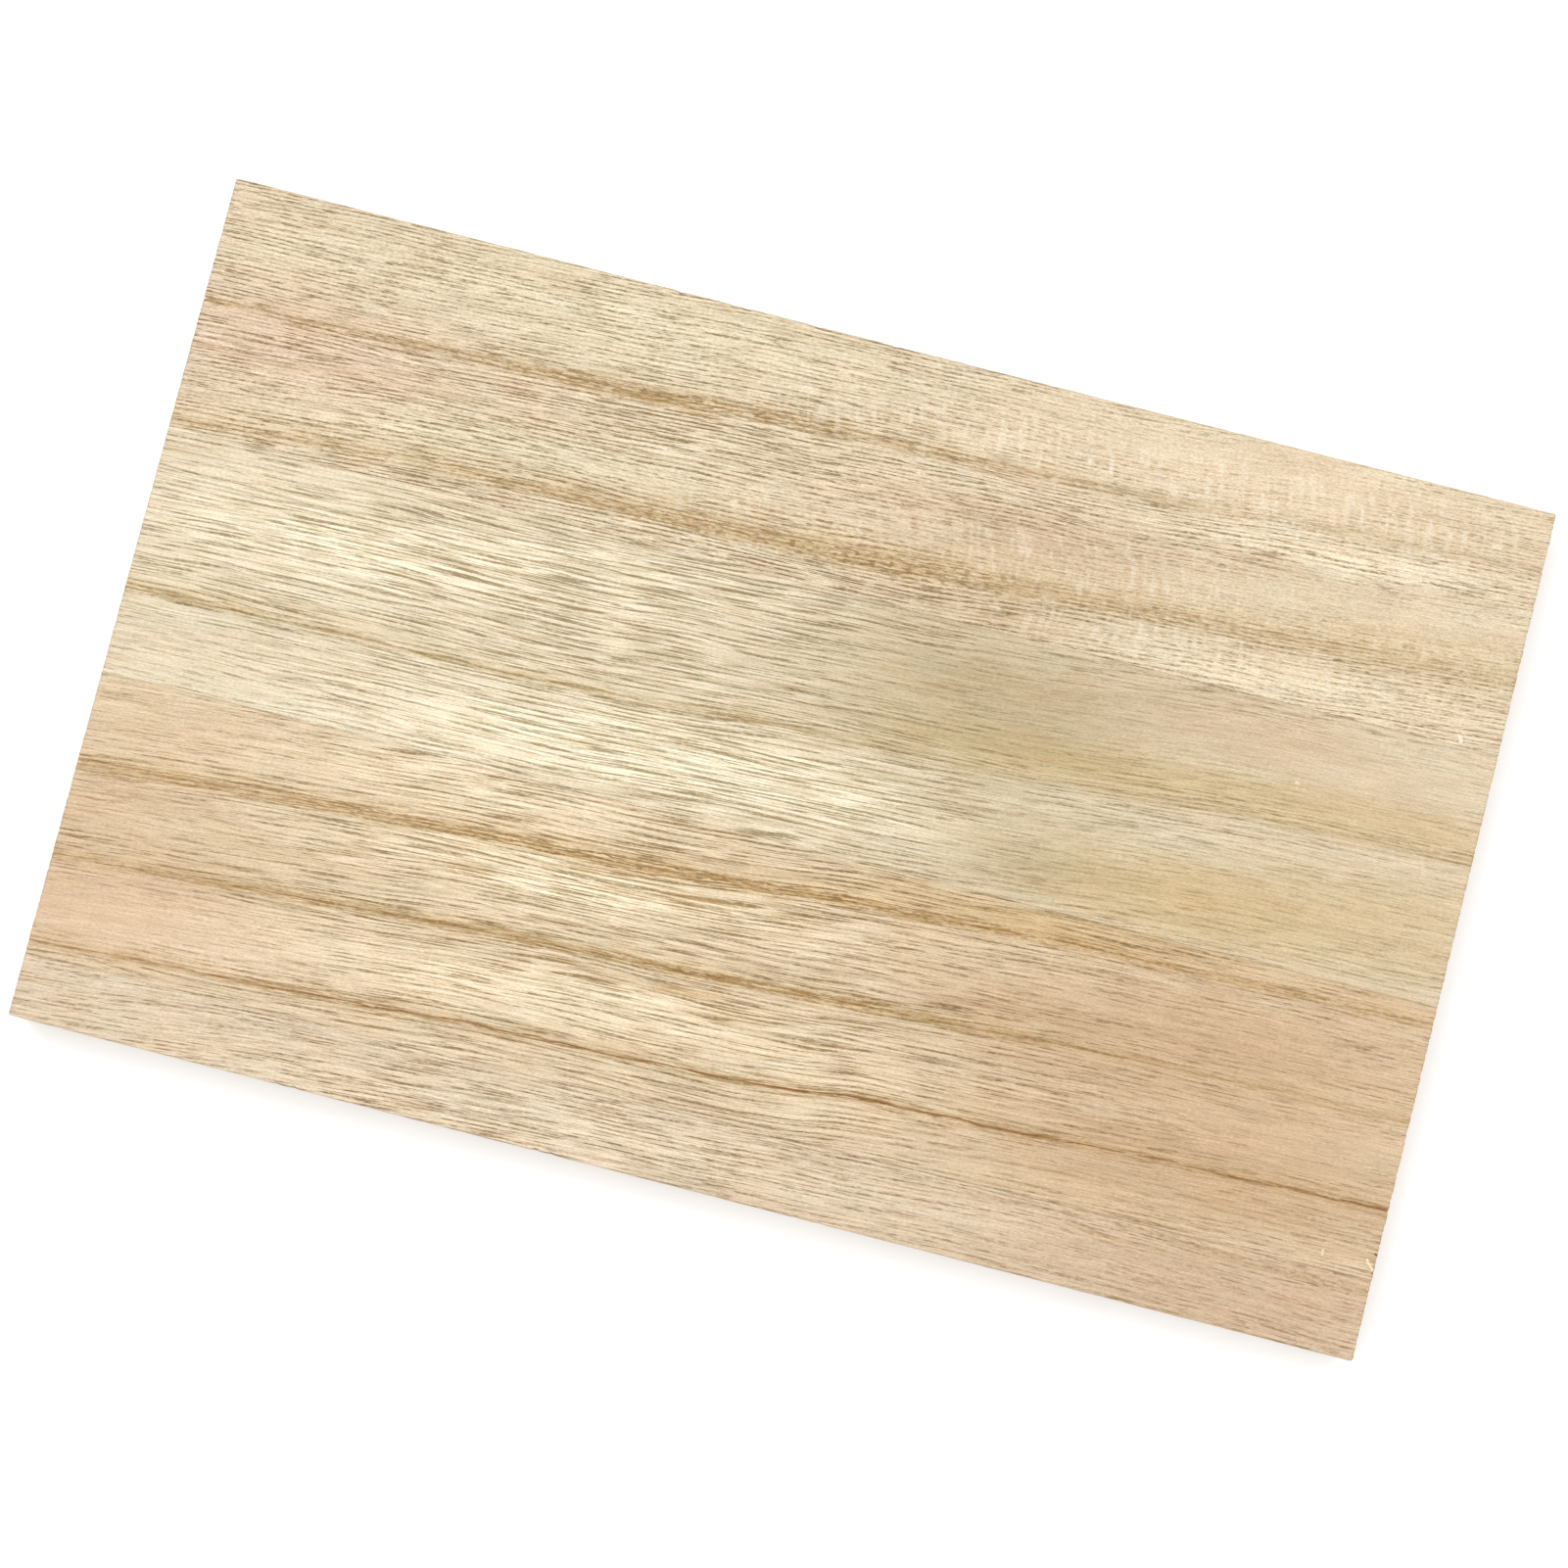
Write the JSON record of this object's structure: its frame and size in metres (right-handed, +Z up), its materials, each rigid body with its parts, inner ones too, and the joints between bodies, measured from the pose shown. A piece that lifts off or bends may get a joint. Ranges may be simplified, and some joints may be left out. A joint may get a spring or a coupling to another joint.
{
  "type": "paulownia craft board",
  "caption": "Flat rectangular craft board of pale, light paulownia laths glued edge to edge, for carving, painting, cutting and model making.",
  "frame": {"origin": "centre of the board's outline on its back face, which is the face it lies on", "axes": "+X along the length and the grain, +Y across the laths towards the rear long edge, +Z up out of the face that the picture shows"},
  "size_m": [0.3, 0.19, 0.009],
  "materials": {
    "rear_lath_wood": "planed and sanded paulownia, unfinished, matt",
    "second_lath_wood": "planed and sanded paulownia, unfinished, matt, palest lath",
    "third_lath_wood": "planed and sanded paulownia, unfinished, matt, golden-brown ring lines",
    "front_strip_wood": "planed and sanded paulownia, unfinished, matt"
  },
  "bodies": {
    "root": {"rear_lath": "rear_lath_wood", "second_lath": "second_lath_wood", "third_lath": "third_lath_wood", "front_strip": "front_strip_wood"}
  },
  "joints": []
}
